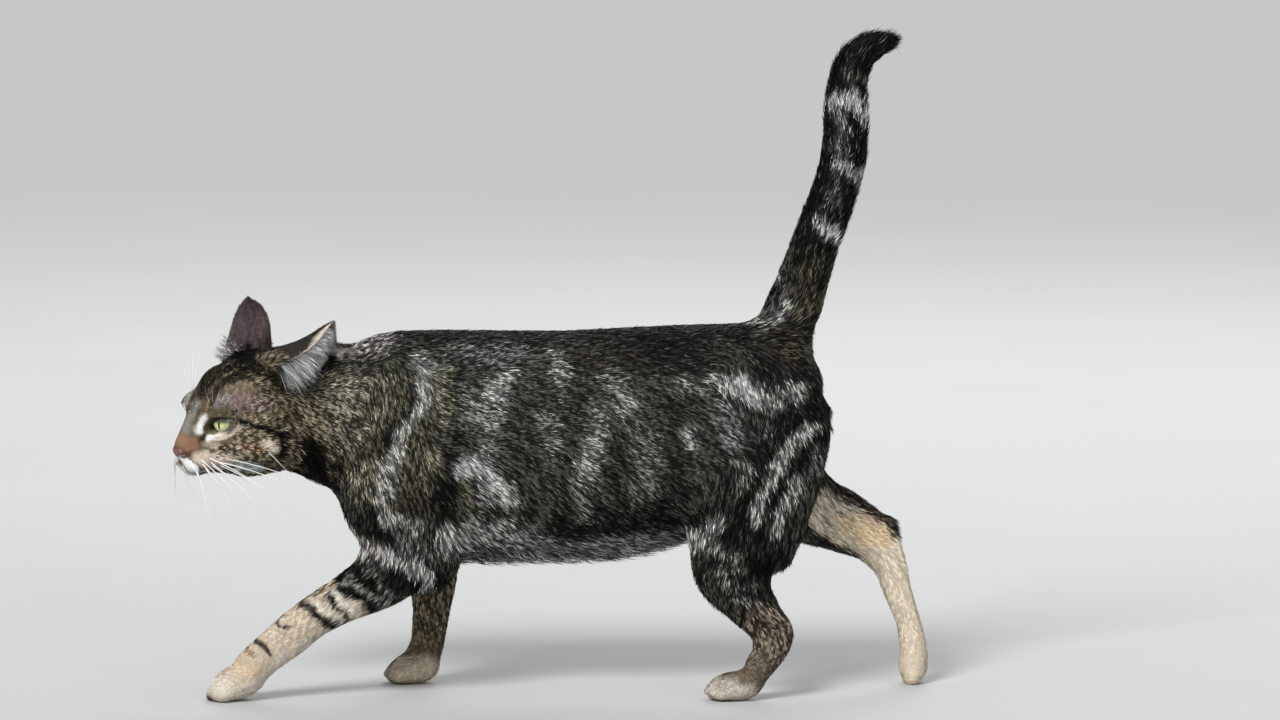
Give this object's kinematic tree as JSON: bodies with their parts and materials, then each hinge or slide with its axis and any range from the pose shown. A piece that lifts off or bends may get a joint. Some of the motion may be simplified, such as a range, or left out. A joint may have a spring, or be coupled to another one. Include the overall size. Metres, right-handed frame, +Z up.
{
  "type": "cat",
  "caption": "Life-size still model of a walking short-haired tabby cat, head low and turned, ears back, tail raised",
  "frame": {"origin": "on the floor, under the middle of the cat's box", "axes": "the cat walks towards -X, its left side is towards -Y, +Z is up"},
  "size_m": [0.583, 0.1358, 0.5106],
  "materials": {
    "coat": "short dense tabby fur, black and dark grey-brown with ticked buff and silver marks",
    "paw_coat": "very short buff fur on the paws",
    "ear_coat": "thin black-brown fur outside, pinkish skin and silver hair inside",
    "eye": "wet cornea over a yellow-green iris with a slit pupil"
  },
  "bodies": {
    "root": {"head": "coat", "ear_left": "ear_coat", "ear_right": "ear_coat", "eye_left": "eye", "eye_right": "eye", "neck": "coat", "chest": "coat", "belly": "coat", "hindquarters": "coat", "tail_base": "coat", "tail_middle": "coat", "tail_tip": "coat", "foreleg_left": "coat", "foreleg_right": "coat", "forepaw_left": "paw_coat", "forepaw_right": "paw_coat", "hindleg_left": "coat", "hindleg_right": "coat", "hindpaw_left": "paw_coat", "hindpaw_right": "paw_coat"}
  },
  "joints": []
}
